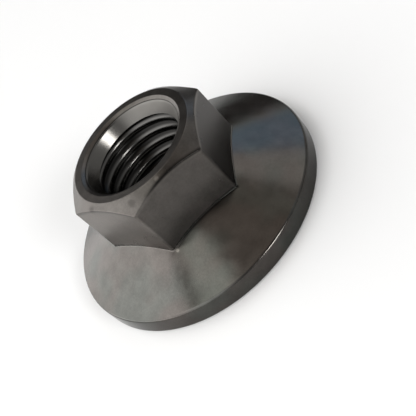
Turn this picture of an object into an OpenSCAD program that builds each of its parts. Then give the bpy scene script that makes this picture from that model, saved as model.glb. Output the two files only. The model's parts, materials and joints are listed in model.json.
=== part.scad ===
// Hexagon nut with a wide conical flange, turned and tapped as one piece of steel.
// It stands on its bearing face: the origin is that face's centre, and +Z runs along the bore.

/* [Flange] */
// Diameter of the flange
flange_d = 30.5; // [28:0.5:36]
// Height of the flange's upright rim, up to where the cone would meet it unrounded
rim_h = 2.25; // [1.5:0.25:3.5]
// Slope of the flange's conical top, in degrees
cone_angle = 23.5; // [12:0.5:30]
// Radius of the edge between the cone and the rim
rim_round = 0.4; // [0.1:0.1:0.8]
// Radius of the edge between the rim and the bearing face
sole_round = 0.3; // [0.1:0.1:0.6]

/* [Hexagon] */
// Size across the flats
hex_af = 16; // [15.5:0.5:20]
// Radius of the hexagon's upright corners
corner_round = 0.4; // [0.1:0.1:1]
// Height of the whole nut
nut_h = 12.7; // [11:0.1:18]
// How far the flat ring on top stays inside the flats
top_inset = 0.6; // [0.2:0.1:1]
// Slope of the chamfer that turns the hexagon's corners down, in degrees
chamfer_angle = 36; // [20:1:45]
// Radius of the edge between the flat ring and the chamfer
top_round = 0.3; // [0.1:0.1:0.6]

/* [Thread] */
// Nominal diameter of the metric thread
thread_d = 12; // [10:0.5:12]
// Pitch of the metric thread
thread_pitch = 1.5; // [1:0.25:1.75]
// How much wider the bore is between the thread's crests than the basic thread
crest_play = 0.27; // [0:0.01:0.3]

/* [Mouths of the bore] */
// Diameter of the upper mouth, at the flat ring
mouth_d = 13; // [12.6:0.1:13.6]
// Diameter at which the upper mouth's countersink gives way to a slender taper
taper_d = 12.12; // [12.02:0.02:12.5]
// Half angle of the slender taper that leads into the thread, in degrees
taper_angle = 19; // [12:1:45]
// Diameter of the lower mouth, at the bearing face
sole_mouth_d = 13; // [12.6:0.1:16]
// Half angle of both mouths' countersinks, in degrees
sink_angle = 60; // [45:5:60]

/* [Hidden] */
$fn = 120;
// How far a cut runs past the face that it opens
over = 1;
// A basic metric thread takes this many pitches off the nominal diameter at its crests
crest_share = 1.0825;

flange_r = flange_d / 2;
flat_r = hex_af / 2;
top_r = flat_r - top_inset;
thread_r = thread_d / 2;
crest_r = (thread_d - crest_share * thread_pitch + crest_play) / 2;

// Height of the cone at a radius
function cone_z(r) = rim_h + (flange_r - r) * tan(cone_angle);

// The flange's half section. Circles that touch both neighbours round the rim's two edges.
module flange_section() {
    rim_x = flange_r - rim_round;
    rim_z = cone_z(rim_x) - rim_round / cos(cone_angle);
    sole_x = flange_r - sole_round;
    polygon([
        [0, 0],
        [sole_x, 0],
        [flange_r, sole_round],
        [flange_r, rim_z],
        [rim_x + rim_round * sin(cone_angle), rim_z + rim_round * cos(cone_angle)],
        [thread_r, cone_z(thread_r)],
        [0, cone_z(thread_r)]
    ]);
    translate([rim_x, rim_z]) circle(rim_round);
    translate([sole_x, sole_round]) circle(sole_round);
}

// The hexagon seen from above, with two flats across Y and a circle that touches both flats in each corner
module hexagon() {
    reach = (flat_r - corner_round) / cos(30);
    polygon([
        for (corner = [0:60:300], side = [-30, 30])
            reach * [cos(corner), sin(corner)]
                + corner_round * [cos(corner + side), sin(corner + side)]
    ]);
    for (corner = [0:60:300]) {
        translate(reach * [cos(corner), sin(corner)]) circle(corner_round);
    }
}

// Half section of the turned envelope that chamfers the hexagon's upper corners
module chamfer_section() {
    edge_x = top_r - top_round * tan(chamfer_angle / 2);
    edge_z = nut_h - top_round;
    polygon([
        [0, 0],
        [flange_r, 0],
        [flange_r, nut_h - (flange_r - top_r) * tan(chamfer_angle)],
        [edge_x + top_round * sin(chamfer_angle), edge_z + top_round * cos(chamfer_angle)],
        [edge_x, nut_h],
        [0, nut_h]
    ]);
    translate([edge_x, edge_z]) circle(top_round);
}

// What the drill and the two countersinks take out, with the thread's crests as a plain wall
module bore() {
    mouth_r = mouth_d / 2;
    taper_r = taper_d / 2;
    taper_z = nut_h - (mouth_r - taper_r) / tan(sink_angle);
    wall_top = taper_z - (taper_r - crest_r) / tan(taper_angle);
    sole_mouth_r = sole_mouth_d / 2;
    wall_foot = (sole_mouth_r - crest_r) / tan(sink_angle);
    translate([0, 0, -over]) cylinder(h = nut_h + 2 * over, r = crest_r);
    rotate_extrude() polygon([
        [0, wall_top],
        [crest_r, wall_top],
        [taper_r, taper_z],
        [mouth_r, nut_h],
        [mouth_r, nut_h + over],
        [0, nut_h + over]
    ]);
    rotate_extrude() polygon([
        [0, -over],
        [sole_mouth_r, -over],
        [sole_mouth_r, 0],
        [crest_r, wall_foot],
        [0, wall_foot]
    ]);
}

module nut() {
    color("dimgray") difference() {
        union() {
            rotate_extrude() flange_section();
            intersection() {
                linear_extrude(height = nut_h) hexagon();
                rotate_extrude() chamfer_section();
            }
        }
        bore();
    }
}

nut();
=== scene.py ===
"""Looks of a hexagon flange nut: its rounded, threaded surface, its dark steel and a small studio."""
import json
from math import atan2, cos, pi, radians, sin, sqrt, tan
from typing import NamedTuple

import bpy
import numpy as np
from mathutils import Matrix, Vector


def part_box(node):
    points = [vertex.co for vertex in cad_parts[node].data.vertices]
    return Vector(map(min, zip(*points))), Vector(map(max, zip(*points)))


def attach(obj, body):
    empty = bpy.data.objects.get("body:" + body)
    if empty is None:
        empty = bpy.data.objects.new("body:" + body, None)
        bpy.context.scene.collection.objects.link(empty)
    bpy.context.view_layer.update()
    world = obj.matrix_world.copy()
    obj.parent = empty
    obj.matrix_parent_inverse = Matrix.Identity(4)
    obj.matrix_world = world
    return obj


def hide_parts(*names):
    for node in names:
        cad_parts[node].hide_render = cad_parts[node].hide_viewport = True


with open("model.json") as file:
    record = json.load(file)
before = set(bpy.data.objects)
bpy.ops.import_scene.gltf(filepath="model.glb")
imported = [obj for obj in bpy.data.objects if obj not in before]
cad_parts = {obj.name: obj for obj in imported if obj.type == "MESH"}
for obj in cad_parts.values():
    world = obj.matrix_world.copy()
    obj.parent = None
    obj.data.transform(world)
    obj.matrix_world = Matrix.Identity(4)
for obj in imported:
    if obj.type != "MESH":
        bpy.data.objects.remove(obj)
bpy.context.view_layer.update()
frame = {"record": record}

bl_info = {
    "name": "Hexagon flange nut",
    "version": (1, 0, 0),
    "blender": (4, 5, 0),
    "location": "View3D > Sidebar > Nut",
    "description": "Makes a threaded flange nut in dark steel and the studio that it stands in",
    "category": "Add Mesh",
}

MM = 0.001
NUT_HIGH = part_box("nut")[1]
MOUNTS = {mount["name"]: mount for mount in frame["record"]["mounts"]}
CREST_R = MOUNTS["thread"]["dims"]["r_mm"] * MM
FLAT_R = abs(MOUNTS["spanner_flat_front"]["pos_m"][1])

# Half width of the groove's flat root, in pitches
ROOT_HALF = 1 / 16
# Tangent of the angle between the groove's flanks and the axis, 60 degrees
FLANK_SLOPE = sqrt(3)
# Rows of the bore in each turn of the thread
ROWS_A_TURN = 16
# Distance of the rows on either side of the groove's edges
EDGE_GAP = 0.13 * MM
# Shares of a flank's height at which rows lie between its two edges
FLANK_PARTS = (0.35, 0.7)
# Small steps to either side over which slopes are measured: an angle and a height
TURN_STEP = 1e-5
HEIGHT_STEP = 1e-5 * MM
# Places closer than this are one place
SAME_PLACE = 1e-8


def length(name, description, default):
    """A property that holds a length in metres."""
    return bpy.props.FloatProperty(
        name=name, description=description, default=default, unit="LENGTH", precision=5)


def angle(name, description, degrees):
    """A property that holds an angle, given in degrees."""
    return bpy.props.FloatProperty(
        name=name, description=description, default=radians(degrees), subtype="ANGLE")


def share(name, description, default):
    """A property that holds a number from 0 to 1."""
    return bpy.props.FloatProperty(name=name, description=description, default=default, min=0.0, max=1.0)


def number(name, description, default):
    """A property that holds a plain number."""
    return bpy.props.FloatProperty(name=name, description=description, default=default)


def count(name, description, default):
    """A property that holds a whole number."""
    return bpy.props.IntProperty(name=name, description=description, default=default)


def colour(name, description, default):
    """A property that holds a linear colour."""
    return bpy.props.FloatVectorProperty(
        name=name, description=description, default=default, size=3, subtype="COLOR", min=0.0, max=1.0)


class NutSizes(bpy.types.PropertyGroup):
    """Sizes of the nut's form. What the frame states comes from the frame."""
    flange_r: length("Flange radius", "Radius of the flange's rim", float(NUT_HIGH[0]))
    nut_h: length("Height", "Height of the whole nut", float(NUT_HIGH[2]))
    flat_r: length("Flat distance", "Distance of each flat from the axis", FLAT_R)
    rim_h: length("Rim height", "Height of the flange's upright rim", 2.25 * MM)
    cone_angle: angle("Cone slope", "Slope of the flange's conical top", 23.5)
    rim_round: length("Rim rounding", "Radius of the edge between cone and rim", 0.4 * MM)
    sole_round: length("Sole rounding", "Radius of the edge round the bearing face", 0.3 * MM)
    corner_round: length("Corner rounding", "Radius of the hexagon's upright corners", 0.4 * MM)
    top_inset: length("Ring inset", "How far the flat ring on top stays inside the flats", 0.6 * MM)
    chamfer_angle: angle("Chamfer slope", "Slope of the chamfer on the hexagon's corners", 36.0)
    top_round: length("Ring rounding", "Radius of the edge between flat ring and chamfer", 0.3 * MM)
    flat_round: length("Flat rounding", "Radius of the edge between chamfer and flats", 0.2 * MM)
    root_fillet: length("Root fillet", "Radius of the hollow between flats and cone", 0.2 * MM)
    mouth_r: length("Mouth radius", "Radius of both mouths of the bore", 6.5 * MM)
    taper_r: length("Taper radius", "Radius at which the countersink gives way to the taper", 6.06 * MM)
    taper_angle: angle("Taper", "Half angle of the taper that leads into the thread", 28.0)
    sink_angle: angle("Countersink", "Half angle of both mouths' countersinks", 60.0)
    mouth_round: length("Mouth rounding", "Radius of the edges at the mouths", 0.1 * MM)
    taper_round: length("Taper rounding", "Radius of the edge between countersink and taper", 1.0 * MM)
    band_h: length("Band", "Height of the smooth band that closes the thread at the taper", 1.39 * MM)
    pitch: length("Pitch", "Rise of the thread in one turn", 1.5 * MM)
    thread_r: length("Thread radius", "Radius of the thread's root", 6.0 * MM)
    thread_start: angle("Thread start", "Where the groove crosses the bearing face's plane", -20.0)
    edge_round: length("Thread edge", "Reach of the rounding on the thread's edges", 0.45 * MM)


class NutMesh(bpy.types.PropertyGroup):
    """How finely the nut's surface is divided."""
    flat_columns: count("Columns", "Columns on each half of a flat", 26)
    corner_columns: count("Corner", "Columns on each half corner", 5)


class NutSteel(bpy.types.PropertyGroup):
    """Colour, gloss and marks of the steel, with places as the photo shows them. X runs to the right."""
    skin: colour("Skin", "Colour of the dark skin", (0.100, 0.101, 0.093))
    skin_warm: colour("Warm skin", "Colour of the skin's warmer patches", (0.108, 0.0985, 0.091))
    thread: colour("Thread", "Colour of the thread", (0.108, 0.105, 0.1))
    cut: colour("Cut metal", "Colour of the cleaner metal of the coned mouth", (0.125, 0.12, 0.112))
    cut_r: length("Cut radius", "Radius inside which the metal was cut", 6.12 * MM)
    cut_z: length("Cut height", "Height of the coned mouth's foot", 11.05 * MM)
    cut_fade: length("Cut fade", "Width over which the skin gives way to cut metal", 0.1 * MM)
    hex_fade: length("Hexagon fade", "Height over which the cone gives way to the hexagon", 0.4 * MM)
    hex_warmth: share("Hexagon warmth", "Least share of the warm colour on the hexagon", 0.85)
    # Painted light and shade: the left front flat is painted lighter, the front and right ones darker
    left_painted_light: number("Left tone", "Brightness of the left front flat", 1.7)
    front_painted_shade: number("Front tone", "Brightness of the front flat", 0.76)
    right_painted_shade: number("Right tone", "Brightness of the right front flat", 0.52)
    tone_start: length("Tone start", "Depth inside a flat's plane at which its tone starts", 0.25 * MM)
    tone_full: length("Tone full", "Depth inside a flat's plane at which its tone is full", 0.03 * MM)
    tone_fade: length("Tone fade", "Distance under the chamfer at which a tone starts to fade", 0.5 * MM)
    tone_end: length("Tone end", "Distance under the chamfer at which a tone ends", 0.12 * MM)
    # Painted shade: the rim is painted darker, most at its right end
    rim_left_painted_shade: share("Left rim", "Brightness of the skin at the rim's left end", 0.72)
    rim_right_painted_shade: share("Right rim", "Brightness of the thicker skin at the rim's right end", 0.45)
    rim_fade: length("Rim fade", "Width over which the skin thickens towards the rim", 0.2 * MM)
    # Painted shade: dark lines along the front flat's foot and under its chamfer
    edge_painted_shade: share("Edge grime", "Brightness under the grime on two edges of the front flat", 0.12)
    edge_reach: length("Edge reach", "Half width of the grime on those edges", 0.34 * MM)
    edge_start: length("Edge start", "Length over which the grime on those edges thickens", 3.0 * MM)
    edge_end: length("Edge end", "Length over which it ends past the flat's corner", 0.3 * MM)
    chamfer_start: length("Chamfer grime", "Where along X the grime under the chamfer starts", -3.5 * MM)
    foot_start: length("Foot grime", "Where along X the grime at the flat's foot starts", -5.5 * MM)
    # Painted shade: the thread is painted darker towards the groove's root
    painted_shade: share("Painted_root_shade", "Brightness of the metal under the grime in the thread's root", 0.2)
    painted_shade_r: length("Grime radius", "Radius at which the grime in the thread is thickest", 5.75 * MM)
    line_shade: share("Mouth line", "Brightness of the dark line round the mouth", 0.25)
    line_r: length("Line radius", "Radius of the dark line round the mouth", 6.12 * MM)
    line_z: length("Line height", "Height from which the dark line round the mouth is full", 12.0 * MM)
    line_reach: length("Line reach", "Half width of the dark line round the mouth", 0.07 * MM)
    torn_start: length("Torn start", "Where along X the mouth's metal starts to look torn and matt", 1.2 * MM)
    torn_reach: length("Torn reach", "Length over which the mouth's metal goes over to torn", 3.0 * MM)
    # Painted light: the torn metal on the mouth's right side is painted brighter, standing in for a
    # reflection
    torn_painted_light: number("Torn tone", "Brightness of the torn metal", 1.5)
    gloss: share("Roughness", "Roughness of the steel", 0.19)
    gloss_spread: share("Roughness spread", "How far the roughness strays to either side", 0.03)
    hex_gloss: share("Hexagon roughness", "Roughness of the hexagon's flats, chamfer and ring", 0.3)
    cut_gloss: share("Cut roughness", "Roughness of the coned mouth", 0.24)
    thread_gloss: share("Thread roughness", "Roughness of the thread", 0.24)
    torn_gloss: share("Torn roughness", "Roughness of the torn metal", 0.55)
    rim_gloss: share("Grazing gloss", "Brightness of reflections seen at a grazing angle", 0.8)
    mottle: share("Mottle", "How far the skin's brightness strays to either side", 0.11)
    cloud: length("Cloud size", "Size of the skin's patches", 1.6 * MM)
    hue: length("Hue size", "Size of the skin's warmer patches", 4.0 * MM)
    grain: length("Grain size", "Size of the skin's grain", 0.22 * MM)
    mark: length("Turning marks", "Distance between turning marks", 0.12 * MM)
    mark_lean: share("Mark lean", "Share of the height that counts with the radius in the marks", 0.3)
    mark_depth: length("Mark depth", "Depth of turning marks and grain", 0.002 * MM)
    relief: share("Relief", "Strength of turning marks and grain", 0.4)


class NutStudio(bpy.types.PropertyGroup):
    """Camera and floor."""
    lens: number("Lens", "Focal length in millimetres", 71.6)
    distance: length("Distance", "From the camera to its target", 94.3 * MM)
    target: bpy.props.FloatVectorProperty(
        name="Target", description="Point that the camera looks at", default=(0.9 * MM, 0.0, -0.7 * MM),
        size=3, subtype="TRANSLATION", precision=5)
    azimuth: angle("Azimuth", "Camera's turn from the front, towards +X", 0.5)
    elevation: angle("Elevation", "Camera's height above the horizon", 38.3)
    roll: angle("Roll", "Camera's turn about its own axis", -46.2)
    floor_half: length("Floor", "Half of the floor's side", 2.0)
    floor_tone: share("Floor tone", "Brightness of the floor", 0.9)


def corner_reach(sizes):
    """Distance from the axis to the centre of the arc in each corner of the hexagon."""
    return (sizes.flat_r - sizes.corner_round) / cos(pi / 6)


def corner_half_angle(sizes):
    """Angle, seen from the axis, from a corner's middle to where its arc meets the flat."""
    return atan2(sizes.corner_round * sin(pi / 6), corner_reach(sizes) + sizes.corner_round * cos(pi / 6))


def hexagon_radius(turn, sizes):
    """Distance from the axis to the hexagon's wall at each angle.

    A flat at distance f from the axis lies at f / cos(a), where a is the angle from the flat's
    middle. In the corner an arc takes over, whose centre is on the corner's own radius.
    """
    from_corner = (turn + pi / 6) % (pi / 3) - pi / 6
    reach = corner_reach(sizes)
    flat = sizes.flat_r / np.cos(pi / 6 - abs(from_corner))
    inside = np.maximum(sizes.corner_round ** 2 - (reach * np.sin(from_corner)) ** 2, 0.0)
    rounded = reach * np.cos(from_corner) + np.sqrt(inside)
    return np.where(abs(from_corner) < corner_half_angle(sizes), rounded, flat)


def column_angles(sizes, mesh_sizes):
    """Angles of the surface's columns, close together in the hexagon's corners and even elsewhere."""
    half = corner_half_angle(sizes)
    near = np.linspace(0.0, half, mesh_sizes.corner_columns, endpoint=False)
    far = np.linspace(half, pi / 6, mesh_sizes.flat_columns, endpoint=False)
    first = np.concatenate([near, far])
    sector = np.unique(np.concatenate([first, pi / 3 - first[:0:-1], [pi / 6]]))
    return np.concatenate([sector + step * pi / 3 for step in range(6)])


def rounded_section(corners, end):
    """Half section that runs straight from corner to corner and turns each one on an arc.

    corners holds (radius from axis, height, arc radius, rows on the arc, rows on the straight
    stretch before it). The arc starts r * tan(turn / 2) before the corner, and its points are its
    centre plus or minus r times the left-hand normal of a direction that turns evenly. Returns the
    points and the unit directions of travel, each of shape rows x columns x 2.
    """
    points = [np.stack(np.broadcast_arrays(c[0], c[1]), axis=-1) for c in corners] + [end]
    points = np.stack(np.broadcast_arrays(*points))
    steps = unit(np.diff(points, axis=0))
    places, ways = [points[0]], [steps[0]]
    here = points[0]
    for index, (_, _, radius, arc_rows, straight_rows) in enumerate(corners[1:]):
        before, after = steps[index], steps[index + 1]
        cross = before[..., 0] * after[..., 1] - before[..., 1] * after[..., 0]
        dot = (before * after).sum(-1)
        turn = np.arctan2(cross, dot)[..., None]
        side = np.sign(turn)
        start = points[index + 1] - before * radius * np.tan(abs(turn) / 2)
        for part in np.arange(1, straight_rows + 1) / (straight_rows + 1):
            places.append(here + (start - here) * part)
            ways.append(before)
        centre = start + side * radius * left_of(before)
        for part in np.linspace(0.0, 1.0, arc_rows):
            way = turned(before, turn * part)
            places.append(centre - side * radius * left_of(way))
            ways.append(way)
        here = places[-1]
    for part in (0.5, 1.0):
        places.append(here + (points[-1] - here) * part)
        ways.append(steps[-1])
    return np.stack(places), np.stack(ways)


def unit(vectors):
    """Vectors divided by their own lengths."""
    return vectors / np.linalg.norm(vectors, axis=-1, keepdims=True)


def left_of(way):
    """Unit normals to the left of unit directions in the half section."""
    return np.stack([-way[..., 1], way[..., 0]], axis=-1)


def turned(way, by):
    """Directions in the half section turned by an angle."""
    c, s = np.cos(by[..., 0]), np.sin(by[..., 0])
    return np.stack([way[..., 0] * c - way[..., 1] * s, way[..., 0] * s + way[..., 1] * c], axis=-1)


def mouth_height(sizes):
    """Height of the edge where the upper countersink gives way to the taper."""
    return sizes.nut_h - (sizes.mouth_r - sizes.taper_r) / tan(sizes.sink_angle)


def plain_bore_radius(height, sizes):
    """Radius of the bore as drilled: the crests' cylinder, or a countersink or taper that is wider."""
    taper = sizes.taper_r + (height - mouth_height(sizes)) * tan(sizes.taper_angle)
    sink = sizes.mouth_r - height * tan(sizes.sink_angle)
    return np.maximum(np.maximum(taper, sink), CREST_R)


def groove_offset(turn, height, sizes):
    """Height above the middle of the nearest turn of the groove, which climbs a pitch in each turn."""
    rise = sizes.pitch * (turn - sizes.thread_start) / (2 * pi)
    return (height - rise + sizes.pitch / 2) % sizes.pitch - sizes.pitch / 2


def bore_radius(turn, height, sizes):
    """Radius of the threaded bore: the larger of the plain bore and the groove.

    The groove's flanks stand at 60 degrees to the axis, so its radius falls by sqrt(3) for each unit
    of height d past the root's half width. That bend is eased: d counts as (d + sqrt(d * d + s * s)) / 2,
    with s half the edges' rounding. The two radii meet in a smooth maximum, which adds h * h * k / 4
    where they differ by less than k, with h = 1 - difference / k.
    """
    past = abs(groove_offset(turn, height, sizes)) - sizes.pitch * ROOT_HALF
    soft = sizes.edge_round / 2
    groove = sizes.thread_r - FLANK_SLOPE * (past + np.sqrt(past ** 2 + soft ** 2)) / 2
    plain = plain_bore_radius(height, sizes)
    overlap = np.maximum(1 - abs(groove - plain) / sizes.edge_round, 0.0)
    return np.maximum(groove, plain) + overlap ** 2 * sizes.edge_round / 4


def bore_rows(turn, sizes, low, high):
    """Heights of the bore's rows at each angle: ROWS_A_TURN to a turn, on the groove's own edges.

    A groove's edge is where its flank meets the crest's cylinder or, near the mouth, the taper,
    which lies at (g - a) / (sqrt(3) +- t) from the groove's middle, with g the flank's radius at the
    middle, a the taper's radius there and t the taper's slope. No row falls below the one before
    it, and rows past low and high stay there.
    """
    slope = tan(sizes.taper_angle)
    root = sizes.pitch * ROOT_HALF
    flank_start = sizes.thread_r + FLANK_SLOPE * root
    crest_edge = root + (sizes.thread_r - CREST_R) / FLANK_SLOPE
    lead = (turn - sizes.thread_start) / (2 * pi)
    first = np.floor((low - sizes.pitch * lead.min()) / sizes.pitch) - 2
    rows = []
    for number_of_turn in range(int((high - low) / sizes.pitch) + 4):
        middle = sizes.pitch * (first + number_of_turn + lead)
        taper = sizes.taper_r + (middle - mouth_height(sizes)) * slope
        over = np.clip((flank_start - taper) / (FLANK_SLOPE + slope), EDGE_GAP, crest_edge)
        under = np.clip((flank_start - taper) / (FLANK_SLOPE - slope), EDGE_GAP, crest_edge)
        offsets = (
            0 * under - sizes.pitch / 2,
            *(-offset for offset in flank_rows(under, root)[::-1]),
            0 * under,
            *flank_rows(over, root),
        )
        rows += [middle + offset for offset in offsets]
    rows = np.maximum.accumulate(np.stack(rows))
    return np.clip(rows, low, high)


def flank_rows(edge, root):
    """Distances of the rows on one side of the groove's middle, from its root out to past its edge."""
    flank_end = edge - EDGE_GAP
    flank = flank_end - np.minimum(root, flank_end)
    return [
        np.minimum(root - EDGE_GAP / 2, edge / 2),
        np.minimum(root + EDGE_GAP / 2, edge - EDGE_GAP / 2),
        *(flank_end - flank * part for part in FLANK_PARTS[::-1]),
        flank_end,
        edge,
        edge + EDGE_GAP,
    ]


def nut_section(turn, sizes):
    """Half section at each angle, from the band's foot over the outside to the sole's countersink."""
    wall = hexagon_radius(turn, sizes)
    top_r = sizes.flat_r - sizes.top_inset
    chamfer = sizes.nut_h - (wall - top_r) * tan(sizes.chamfer_angle)
    cone = sizes.rim_h + (sizes.flange_r - wall) * tan(sizes.cone_angle)
    low, high = bore_ends(sizes)
    taper_start = plain_bore_radius(high, sizes)
    corners = [
        (taper_start, high, 0.0, 0, 0),
        (sizes.taper_r, mouth_height(sizes), sizes.taper_round, 6, 2),
        (sizes.mouth_r, sizes.nut_h, sizes.mouth_round, 4, 1),
        (top_r, sizes.nut_h, sizes.top_round, 5, 2),
        (wall, chamfer, sizes.flat_round, 6, 2),
        (wall, cone, sizes.root_fillet, 7, 5),
        (sizes.flange_r, sizes.rim_h, sizes.rim_round, 7, 6),
        (sizes.flange_r, 0.0, sizes.sole_round, 6, 2),
        (sizes.mouth_r, 0.0, sizes.mouth_round, 3, 3),
    ]
    end = np.array([plain_bore_radius(low, sizes), low])
    return rounded_section(corners, end)


def bore_ends(sizes):
    """Heights between which the thread is open, from the sole's countersink to the band's foot.

    The lower one is where the countersink clears the thread's root by the reach of its rounding.
    """
    clear = sizes.mouth_r - sizes.thread_r - sizes.edge_round
    return clear / tan(sizes.sink_angle), mouth_height(sizes) - sizes.band_h


def placed(turn, radius, height):
    """Places at a radius and a height, or directions with such parts, at each column's angle."""
    return np.stack(np.broadcast_arrays(radius * np.cos(turn), radius * np.sin(turn), height), axis=-1)


def outside_grid(turn, sizes):
    """Places and unit normals of the outside, rows x columns x 3.

    The normal is the direction of travel along the section crossed with the change of place with
    the angle, which is measured over a small step to either side.
    """
    section, ways = nut_section(turn, sizes)
    ahead, behind = (nut_section(turn + step, sizes)[0] for step in (TURN_STEP, -TURN_STEP))
    change = (ahead - behind) / (2 * TURN_STEP)
    radius, height = section[..., 0], section[..., 1]
    along = placed(turn, ways[..., 0], ways[..., 1])
    around = placed(turn, change[..., 0], change[..., 1]) + placed(turn + pi / 2, radius, 0.0)
    return placed(turn, radius, height), unit(np.cross(along, around))


def bore_grid(turn, sizes):
    """Places and unit normals of the bore, whose rows climb with the thread.

    The normal points at the axis, leaning by the radius's change with height and with the angle.
    """
    height = bore_rows(turn, sizes, *bore_ends(sizes))
    radius = bore_radius(turn, height, sizes)
    climb = bore_radius(turn, height + HEIGHT_STEP, sizes) - bore_radius(turn, height - HEIGHT_STEP, sizes)
    climb /= 2 * HEIGHT_STEP
    swing = bore_radius(turn + TURN_STEP, height, sizes) - bore_radius(turn - TURN_STEP, height, sizes)
    swing /= 2 * TURN_STEP
    normals = placed(turn, -1.0, climb) + placed(turn + pi / 2, swing / radius, 0.0)
    return placed(turn, radius, height), unit(normals)


def lip_grid(turn, sizes):
    """Places and unit normals of the smooth band's foot, a flat ring that faces down over the groove.

    Its outer edge is the threaded bore at that height and its inner edge the taper, so the ring is as
    wide as the groove is deep there and closes to nothing where the groove has run out.
    """
    high = bore_ends(sizes)[1]
    radius = np.stack([bore_radius(turn, high, sizes), 0 * turn + plain_bore_radius(high, sizes)])
    places = placed(turn, radius, high)
    return places, np.broadcast_to([0.0, 0.0, -1.0], places.shape)


def grid_faces(rows, columns, shift):
    """Quads of a grid that closes on itself round the axis.

    Its last column meets rows that lie shift higher in its first.
    """
    row, column = np.meshgrid(np.arange(rows - 1), np.arange(columns), indexing="ij")
    following = (column + 1) % columns
    jump = np.where(column == columns - 1, shift, 0)
    upper = np.minimum(row + 1 + jump, rows - 1)
    lower = np.minimum(row + jump, rows - 1)
    here = (row * columns + column, (row + 1) * columns + column)
    there = (upper * columns + following, lower * columns + following)
    return np.stack([*here, *there], axis=-1).reshape(-1, 4)


def merged(corners, faces):
    """Places with those that coincide made one, and faces that point at them.

    Returns the places, the corners' own numbers and their places' numbers, face after face, and
    how many corners each face has. A quad with two corners in one place becomes a triangle.
    """
    whole_numbers = np.round(corners / SAME_PLACE).astype(np.int64)
    _, first, inverse = np.unique(whole_numbers, axis=0, return_index=True, return_inverse=True)
    joined = inverse.reshape(-1)[faces]
    keep = joined != np.roll(joined, -1, axis=1)
    crossed = (joined[:, 0] == joined[:, 2]) | (joined[:, 1] == joined[:, 3])
    keep &= ((keep.sum(axis=1) > 2) & ~crossed)[:, None]
    totals = keep.sum(axis=1)
    return corners[first], faces[keep], joined[keep], totals[totals > 0]


def surface_object(name, corners, normals, faces):
    """A smooth mesh object at the origin, with the normals given at each face's own corners."""
    places, own, joined, totals = merged(corners, faces)
    mesh = bpy.data.meshes.new(name)
    mesh.vertices.add(len(places))
    mesh.vertices.foreach_set("co", places.astype(np.float32).ravel())
    mesh.loops.add(len(joined))
    mesh.loops.foreach_set("vertex_index", joined.astype(np.int32))
    mesh.polygons.add(len(totals))
    starts = np.concatenate([[0], np.cumsum(totals)[:-1]])
    mesh.polygons.foreach_set("loop_start", starts.astype(np.int32))
    mesh.update(calc_edges=True)
    mesh.shade_smooth()
    mesh.normals_split_custom_set(normals[own].tolist())
    piece = bpy.data.objects.new(name, mesh)
    bpy.context.scene.collection.objects.link(piece)
    return piece


def nut_object(sizes, mesh_sizes):
    """The whole nut as one closed surface of three grids: threaded bore, band's foot and outside."""
    turn = column_angles(sizes, mesh_sizes)
    shifts = {bore_grid: ROWS_A_TURN, lip_grid: 0, outside_grid: 0}
    corners, normals, faces, total = [], [], [], 0
    for grid, shift in shifts.items():
        places, directions = grid(turn, sizes)
        faces.append(grid_faces(len(places), len(turn), shift) + total)
        corners.append(places.reshape(-1, 3))
        normals.append(directions.reshape(-1, 3))
        total += len(corners[-1])
    whole = (np.concatenate(part) for part in (corners, normals, faces))
    return surface_object("flange_nut", *whole)


def calc(tree, operation, *values):
    """Output of a new math node, from numbers or from other nodes' outputs."""
    node = tree.nodes.new("ShaderNodeMath")
    node.operation = operation
    for socket, value in zip(node.inputs, values):
        feed(tree, socket, value)
    return node.outputs[0]


def feed(tree, socket, value):
    """Link another node's output to a socket, or set the socket's own value."""
    if isinstance(value, bpy.types.NodeSocket):
        tree.links.new(value, socket)
    else:
        socket.default_value = value


def product(tree, total, *others):
    """Output of numbers and outputs multiplied together."""
    for other in others:
        total = calc(tree, "MULTIPLY", total, other)
    return total


def hypotenuse(tree, first, second):
    """Output of the square root of the sum of two squares."""
    return calc(tree, "SQRT", calc(tree, "ADD", product(tree, first, first), product(tree, second, second)))


def toned(tree, mask, tone):
    """Output that goes in proportion from 1 where the mask is 0 to tone where it is 1."""
    return calc(tree, "ADD", product(tree, mask, calc(tree, "SUBTRACT", tone, 1.0)), 1.0)


def scaled(tree, vector, factor):
    """Output of a vector or colour multiplied by a number."""
    node = tree.nodes.new("ShaderNodeVectorMath")
    node.operation = "SCALE"
    feed(tree, node.inputs["Vector"], vector)
    feed(tree, node.inputs["Scale"], factor)
    return node.outputs[0]


def split(tree, vector):
    """Outputs of a vector's three parts."""
    node = tree.nodes.new("ShaderNodeSeparateXYZ")
    tree.links.new(vector, node.inputs[0])
    return node.outputs


def ramp(tree, value, start, end, low=0.0, high=1.0):
    """Output that eases from low to high while value goes from start to end."""
    node = tree.nodes.new("ShaderNodeMapRange")
    node.interpolation_type = "SMOOTHSTEP"
    for socket, part in zip(node.inputs, (value, start, end, low, high)):
        feed(tree, socket, part)
    return node.outputs[0]


def noise(tree, place, scale, detail, name):
    """Output of a noise texture from 0 to 1, with scale specks to the metre and detail finer layers."""
    node = tree.nodes.new("ShaderNodeTexNoise")
    node.name = name
    tree.links.new(place, node.inputs["Vector"])
    node.inputs["Scale"].default_value = scale
    node.inputs["Detail"].default_value = detail
    return node.outputs["Fac"]


def blend(tree, share_of_second, first, second):
    """Output of a colour mix of two colours or outputs."""
    node = tree.nodes.new("ShaderNodeMix")
    node.data_type = "RGBA"
    feed(tree, node.inputs["Factor"], share_of_second)
    for socket, value in ((node.inputs["A"], first), (node.inputs["B"], second)):
        feed(tree, socket, value if isinstance(value, bpy.types.NodeSocket) else (*value, 1.0))
    return node.outputs["Result"]


class Spot(NamedTuple):
    """A small stain, light dot or painted highlight: its middle and radius in millimetres and how bright it
    leaves the metal.
    """
    middle: tuple
    radius: float
    brightness: float


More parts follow.
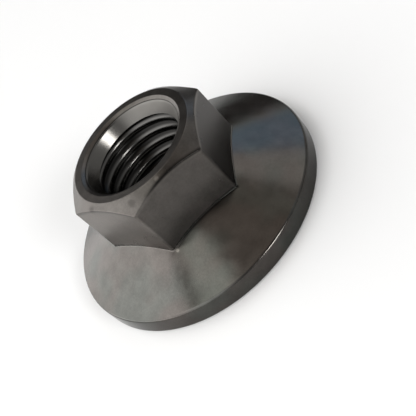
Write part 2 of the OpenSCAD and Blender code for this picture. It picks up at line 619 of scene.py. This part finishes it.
SPOTS = {
    "smudge_left": Spot((-3.89, -7.15, 12.17), 0.6, 0.7),
    "smudge_far": Spot((-7.44, -2.98, 12.25), 0.6, 0.65),
    "light_dot_ring": Spot((-0.42, -7.70, 12.47), 0.36, 1.8),
    # Painted highlight: a bright glint at the foot of the front flat's left corner
    "foot_painted_highlight": Spot((-4.31, -8.26, 4.83), 0.3, 2.5),
}

# Specks to the metre in the ragged edges of stains, the light dot and the painted highlight
RAGGED_SCALE = 3 / MM
# Share of a spot's radius inside which it is full
SPOT_CORE = 1 / 3
# Name in NutSteel of each front flat's painted light and shade, and which way the flat faces, in degrees
# round from +X
FRONT_FLATS = {"left_painted_light": 210, "front_painted_shade": 270, "right_painted_shade": 330}
# Part of each noise that is stretched to the full range of what it drives
NOISE_SPANS = {"clouds": (0.25, 0.75), "gloss": (0.2, 0.8), "grain": (0.3, 0.7), "hue": (0.35, 0.65)}


def spot_brightness(tree, place):
    """Brightness that the stains, the light dot and the painted highlight leave, each eased out from its
    middle.

    Noise stretches the distance from the middle by a half to one and a half, for a ragged edge.
    """
    stretch = calc(tree, "ADD", noise(tree, place, RAGGED_SCALE, 3.0, "ragged"), 0.5)
    total = 1.0
    for spot in SPOTS.values():
        away = tree.nodes.new("ShaderNodeVectorMath")
        away.operation = "DISTANCE"
        tree.links.new(place, away.inputs[0])
        away.inputs[1].default_value = [part * MM for part in spot.middle]
        reach = product(tree, away.outputs["Value"], stretch)
        radius = spot.radius * MM
        total = product(tree, total, ramp(tree, reach, radius * SPOT_CORE, radius, spot.brightness, 1.0))
    return total


def painted_edge_shade(tree, above, inside, x, start, end, steel):
    """Brightness under a painted shade, the dark line along an edge of the front flat, from x = start to the
    flat's corner.

    The line's distance is the length of two parts: how far the place lies inside the flat's plane,
    and how far above the slope that meets the flat there.
    """
    shade = ramp(tree, hypotenuse(tree, above, inside), 0.0, steel.edge_reach, steel.edge_painted_shade, 1.0)
    thicker = ramp(tree, x, start, start + steel.edge_start)
    ending = ramp(tree, x, end, end + steel.edge_end, 1.0, 0.0)
    return toned(tree, product(tree, thicker, ending), shade)


def flat_painted_light(tree, x, y, sizes, steel):
    """Painted light on the left front flat and painted shade on the front and right ones, and a tone of one
    elsewhere.

    A place belongs to a flat where its distance from the axis, measured square to the flat, reaches
    the flat's own.
    """
    total = 1.0
    start, full = sizes.flat_r - steel.tone_start, sizes.flat_r - steel.tone_full
    for name, degrees in FRONT_FLATS.items():
        out = along_azimuth(tree, x, y, radians(degrees))
        total = product(tree, total, ramp(tree, out, start, full, 1.0, getattr(steel, name)))
    return total


def along_azimuth(tree, x, y, azimuth):
    """Distance from the axis, measured level towards an azimuth."""
    return calc(tree, "ADD", product(tree, x, cos(azimuth)), product(tree, y, sin(azimuth)))


def above_slope(tree, z, radius, edge_r, edge_z, slope):
    """Height above a slope that falls away from the axis and passes through (edge_r, edge_z)."""
    fall = product(tree, calc(tree, "SUBTRACT", radius, edge_r), tan(slope))
    return calc(tree, "ADD", calc(tree, "SUBTRACT", z, edge_z), fall)


class Where(NamedTuple):
    """A place on the nut, its parts along the three axes, and its distance from the bore's axis."""
    place: bpy.types.NodeSocket
    x: bpy.types.NodeSocket
    y: bpy.types.NodeSocket
    z: bpy.types.NodeSocket
    radius: bpy.types.NodeSocket


class Areas(NamedTuple):
    """What colour and gloss depend on at a place: heights in metres and shares from 0 to 1."""
    above_cone: bpy.types.NodeSocket
    above_chamfer: bpy.types.NodeSocket
    cut: bpy.types.NodeSocket
    mouth: bpy.types.NodeSocket
    torn: bpy.types.NodeSocket
    hexagon: bpy.types.NodeSocket


def steel_areas(tree, where, sizes, steel):
    """Heights above the cone and the chamfer, and how far a place is cut, mouth, torn or hexagon."""
    _, x, _, z, radius = where
    top_r = sizes.flat_r - sizes.top_inset
    above_cone = above_slope(tree, z, radius, sizes.flange_r, sizes.rim_h, sizes.cone_angle)
    above_chamfer = above_slope(tree, z, radius, top_r, sizes.nut_h, sizes.chamfer_angle)
    cut = ramp(tree, radius, steel.cut_r, steel.cut_r - steel.cut_fade)
    mouth = product(tree, cut, ramp(tree, z, steel.cut_z - steel.cut_fade, steel.cut_z))
    torn = product(tree, mouth, ramp(tree, x, steel.torn_start, steel.torn_start + steel.torn_reach))
    uncut = calc(tree, "SUBTRACT", 1.0, cut)
    hexagon = product(tree, ramp(tree, above_cone, 0.0, steel.hex_fade), uncut)
    return Areas(above_cone, above_chamfer, cut, mouth, torn, hexagon)


def steel_metal(tree, where, clouds, grain, areas, steel):
    """Colour of the clean metal: the mottled skin, the thread, and the coned mouth."""
    hue = noise(tree, where.place, 1 / steel.hue, 1.0, "hue")
    warmth = ramp(tree, hue, *NOISE_SPANS["hue"])
    warmth = calc(tree, "MAXIMUM", warmth, product(tree, areas.hexagon, steel.hex_warmth))
    skin = blend(tree, warmth, steel.skin, steel.skin_warm)
    patches = ramp(tree, clouds, *NOISE_SPANS["clouds"], 1 - steel.mottle, 1 + steel.mottle)
    specks = ramp(tree, grain, *NOISE_SPANS["grain"], -steel.mottle / 2, steel.mottle / 2)
    shaded = scaled(tree, skin, calc(tree, "ADD", patches, specks))
    return blend(tree, areas.mouth, blend(tree, areas.cut, shaded, steel.thread), steel.cut)


def steel_dirt_and_painted_light(tree, where, areas, sizes, steel):
    """Brightness that stains and painted light and shade leave: the spots, painted shade in the thread's
    root, along two edges of the front flat, on the rim and in the dark line round the mouth, painted light
    and shade on the front flats, and painted light on the torn metal.
    """
    place, x, y, z, radius = where
    # Painted shade deep in the thread's groove
    threaded = calc(tree, "SUBTRACT", areas.cut, areas.mouth)
    root = product(tree, threaded, ramp(tree, radius, CREST_R, steel.painted_shade_r))
    inside = calc(tree, "ADD", y, sizes.flat_r)
    corner_x = sizes.flat_r * tan(pi / 6)
    under_chamfer = ramp(tree, areas.above_chamfer, -steel.tone_fade, -steel.tone_end, 1.0, 0.0)
    flats = product(tree, areas.hexagon, under_chamfer)
    # Painted shade on the rim, darker towards the right
    rim_painted_shade = ramp(tree, x, -sizes.flange_r, sizes.flange_r, steel.rim_left_painted_shade, steel.rim_right_painted_shade)
    off_line = calc(tree, "ABSOLUTE", calc(tree, "SUBTRACT", radius, steel.line_r))
    rising = ramp(tree, z, steel.cut_z, steel.line_z)
    line = product(tree, ramp(tree, off_line, steel.line_reach, 0.0), rising)
    return product(
        tree,
        ramp(tree, root, 0.0, 1.0, 1.0, steel.painted_shade),
        spot_brightness(tree, place),
        # Painted shade along the front flat's edge under the chamfer and along its foot
        painted_edge_shade(tree, areas.above_chamfer, inside, x, steel.chamfer_start, corner_x, steel),
        painted_edge_shade(tree, areas.above_cone, inside, x, steel.foot_start, corner_x, steel),
        ramp(tree, radius, sizes.flange_r - steel.rim_fade, sizes.flange_r, 1.0, rim_painted_shade),
        ramp(tree, line, 0.0, 1.0, 1.0, steel.line_shade),
        # Painted light and shade on the three front flats
        toned(tree, flats, flat_painted_light(tree, x, y, sizes, steel)),
        # Painted light on the torn metal
        ramp(tree, areas.torn, 0.0, 1.0, 1.0, steel.torn_painted_light),
    )


def steel_roughness(tree, clouds, areas, steel):
    """Roughness of the skin, which strays with its patches, and what each area adds to it."""
    low, high = steel.gloss - steel.gloss_spread, steel.gloss + steel.gloss_spread
    total = ramp(tree, clouds, *NOISE_SPANS["gloss"], low, high)
    changes = (
        (areas.hexagon, steel.hex_gloss - steel.gloss),
        (areas.cut, steel.thread_gloss - steel.gloss),
        (areas.mouth, steel.cut_gloss - steel.thread_gloss),
        (areas.torn, steel.torn_gloss - steel.cut_gloss),
    )
    for area, change in changes:
        total = calc(tree, "ADD", total, product(tree, area, change))
    return total


def steel_relief(tree, where, grain, steel):
    """Normal over faint grain and turning marks, which go by the radius and a share of the height."""
    rings = tree.nodes.new("ShaderNodeTexNoise")
    rings.name = "turning_marks"
    rings.noise_dimensions = "1D"
    along = calc(tree, "ADD", where.radius, product(tree, where.z, steel.mark_lean))
    tree.links.new(along, rings.inputs["W"])
    rings.inputs["Scale"].default_value = 1 / steel.mark
    bump = tree.nodes.new("ShaderNodeBump")
    bump.inputs["Strength"].default_value = steel.relief
    bump.inputs["Distance"].default_value = steel.mark_depth
    tree.links.new(calc(tree, "ADD", rings.outputs["Fac"], grain), bump.inputs["Height"])
    return bump.outputs["Normal"]


def steel_material(sizes, steel):
    """Dark satin steel with a mottled skin, turning marks, stains, painted light and shade, and cleaner metal
    inside the bore.
    """
    material = bpy.data.materials.new("dark_steel")
    material.use_nodes = True
    tree = material.node_tree
    shader = tree.nodes["Principled BSDF"]
    place = tree.nodes.new("ShaderNodeTexCoord").outputs["Object"]
    x, y, z = split(tree, place)
    where = Where(place, x, y, z, hypotenuse(tree, x, y))
    clouds = noise(tree, place, 1 / steel.cloud, 3.0, "clouds")
    grain = noise(tree, place, 1 / steel.grain, 2.0, "grain")
    areas = steel_areas(tree, where, sizes, steel)
    metal = steel_metal(tree, where, clouds, grain, areas, steel)
    dirt = steel_dirt_and_painted_light(tree, where, areas, sizes, steel)
    feed(tree, shader.inputs["Base Color"], scaled(tree, metal, dirt))
    feed(tree, shader.inputs["Metallic"], 1.0)
    feed(tree, shader.inputs["Specular Tint"], (*[steel.rim_gloss] * 3, 1.0))
    feed(tree, shader.inputs["Roughness"], steel_roughness(tree, clouds, areas, steel))
    feed(tree, shader.inputs["Normal"], steel_relief(tree, where, grain, steel))
    return material


class Softbox(NamedTuple):
    """A soft-edged panel of light far away, in degrees round and above the nut."""
    azimuth: float
    elevation: float
    half_width: float
    half_height: float
    side_fade: float
    edge_fade: float
    strength: float
    tint: tuple = (1.0, 1.0, 1.0)


SOFTBOXES = {
    "window": Softbox(150, 6, 43, 54, 5, 1.5, 2.35),
    "window_left": Softbox(196, 8, 28, 51, 44, 2, 1.9),
    "left_low": Softbox(172, 3, 26, 7, 10, 3, 4.2),
    "ceiling_left": Softbox(160, 73.5, 58, 5.5, 40, 4, 1.8, (1.0, 1.01, 0.96)),
    "ceiling": Softbox(120, 90, 150, 26, 30, 18, 0.4, (1.1, 0.98, 0.88)),
    "right_beige": Softbox(34, 50.5, 16, 7, 14, 3, 0.95, (1.03, 1.0, 0.97)),
    "right_blue": Softbox(47, 32, 12, 9.5, 9, 2, 0.68, (0.8, 1.03, 1.33)),
    "right_edge": Softbox(56, 21, 10, 0.8, 8, 1, 0.9, (1.1, 1.0, 0.85)),
    "back_right": Softbox(104, 36, 6, 16, 16, 10, 0.4),
    "right_dim": Softbox(352, 45, 30, 12, 20, 10, 0.42),
    "front_low": Softbox(325, 19, 70, 8, 15, 8, 0.5),
    "small_lamp": Softbox(293, 25, 8, 6, 4, 2, 18.0),
    "room": Softbox(0, 0, 180, 90, 1, 1, 0.065, (1.08, 0.99, 0.93)),
}

# Least level part of a direction, so that straight up divides by no zero
LEAST_LEVEL = 1e-6


def softbox_light(tree, sky, box):
    """Colour of one softbox in the world's directions: full inside, and eased to nothing over its fades.

    The angle from the box's azimuth is the arc cosine of the level direction's dot product with it.
    """
    level_x, level_y, height = sky
    along = along_azimuth(tree, level_x, level_y, radians(box.azimuth))
    aside = calc(tree, "ARCCOSINE", calc(tree, "MINIMUM", along, 1.0))
    above = calc(tree, "ABSOLUTE", calc(tree, "SUBTRACT", height, radians(box.elevation)))
    side, side_end = radians(box.half_width), radians(box.half_width + box.side_fade)
    edge, edge_end = radians(box.half_height), radians(box.half_height + box.edge_fade)
    across = ramp(tree, aside, side, side_end, 1.0, 0.0)
    upright = ramp(tree, above, edge, edge_end, 1.0, 0.0)
    colour_inside = [part * box.strength for part in box.tint]
    return scaled(tree, colour_inside, product(tree, across, upright))


def studio_world():
    """A dim room with soft panels of light, where the brightest of them counts in each direction."""
    world = bpy.data.worlds.new("studio")
    world.use_nodes = True
    tree = world.node_tree
    x, y, z = split(tree, tree.nodes.new("ShaderNodeTexCoord").outputs["Generated"])
    level = calc(tree, "MAXIMUM", hypotenuse(tree, x, y), LEAST_LEVEL)
    sky = (calc(tree, "DIVIDE", x, level), calc(tree, "DIVIDE", y, level), calc(tree, "ARCSINE", z))
    light, *others = (softbox_light(tree, sky, box) for box in SOFTBOXES.values())
    for other in others:
        brightest = tree.nodes.new("ShaderNodeVectorMath")
        brightest.operation = "MAXIMUM"
        tree.links.new(light, brightest.inputs[0])
        tree.links.new(other, brightest.inputs[1])
        light = brightest.outputs[0]
    tree.links.new(light, tree.nodes["Background"].inputs["Color"])
    return world


def camera_matrix(studio):
    """Place and turn of a camera that orbits its target, rolled about its own axis."""
    a, e = studio.azimuth, studio.elevation
    back = Vector((sin(a) * cos(e), -cos(a) * cos(e), sin(e)))
    right = Vector((cos(a), sin(a), 0.0))
    up = back.cross(right)
    turn = Matrix((right, up, back)).transposed() @ Matrix.Rotation(studio.roll, 3, "Z")
    return Matrix.Translation(Vector(studio.target) + back * studio.distance) @ turn.to_4x4()


class NUT_OT_form(bpy.types.Operator):
    """Make the nut's surface with its thread and dress it in dark steel"""
    bl_idname = "nut.form"
    bl_label = "Nut"

    def execute(self, context):
        piece = nut_object(context.scene.nut_sizes, context.scene.nut_mesh)
        piece.data.materials.append(steel_material(context.scene.nut_sizes, context.scene.nut_steel))
        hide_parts("nut")
        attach(piece, "root")
        return {"FINISHED"}


class NUT_OT_stage(bpy.types.Operator):
    """Make the floor, the lights and the camera"""
    bl_idname = "nut.stage"
    bl_label = "Stage"

    def execute(self, context):
        scene = context.scene
        studio = scene.nut_studio
        lens = bpy.data.cameras.new("camera")
        lens.lens = studio.lens
        lens.sensor_width = 36.0
        lens.clip_start = 0.005
        camera = bpy.data.objects.new("camera", lens)
        camera.matrix_world = camera_matrix(studio)
        scene.collection.objects.link(camera)
        scene.camera = camera
        scene.view_settings.view_transform = "Standard"
        side = studio.floor_half
        corners = [(-side, -side, 0), (side, -side, 0), (side, side, 0), (-side, side, 0)]
        mesh = bpy.data.meshes.new("floor")
        mesh.from_pydata(corners, [], [(0, 1, 2, 3)])
        floor = bpy.data.objects.new("floor", mesh)
        scene.collection.objects.link(floor)
        pale = bpy.data.materials.new("pale_floor")
        pale.use_nodes = True
        shader = pale.node_tree.nodes["Principled BSDF"]
        shader.inputs["Base Color"].default_value = (*[studio.floor_tone] * 3, 1.0)
        mesh.materials.append(pale)
        scene.world = studio_world()
        return {"FINISHED"}


class NUT_PT_panel(bpy.types.Panel):
    """Lists the nut's steps and properties"""
    bl_idname = "NUT_PT_panel"
    bl_label = "Flange nut"
    bl_space_type = "VIEW_3D"
    bl_region_type = "UI"
    bl_category = "Nut"

    def draw(self, context):
        for operator in OPERATORS:
            self.layout.operator(operator.bl_idname)
        for group in GROUPS:
            holder = getattr(context.scene, group)
            for name in holder.bl_rna.properties.keys():
                if name not in ("rna_type", "name"):
                    self.layout.prop(holder, name)


OPERATORS = (NUT_OT_form, NUT_OT_stage)
GROUPS = {"nut_sizes": NutSizes, "nut_mesh": NutMesh, "nut_steel": NutSteel, "nut_studio": NutStudio}


def register():
    """Add the properties, the operators and the panel."""
    for name, group in GROUPS.items():
        bpy.utils.register_class(group)
        setattr(bpy.types.Scene, name, bpy.props.PointerProperty(type=group))
    for each in (*OPERATORS, NUT_PT_panel):
        bpy.utils.register_class(each)


def unregister():
    """Take the panel, the operators and the properties away."""
    for each in (NUT_PT_panel, *reversed(OPERATORS)):
        bpy.utils.unregister_class(each)
    for name, group in GROUPS.items():
        delattr(bpy.types.Scene, name)
        bpy.utils.unregister_class(group)


def main():
    """Make everything."""
    register()
    bpy.ops.nut.form()
    bpy.ops.nut.stage()


if __name__ == "__main__":
    main()
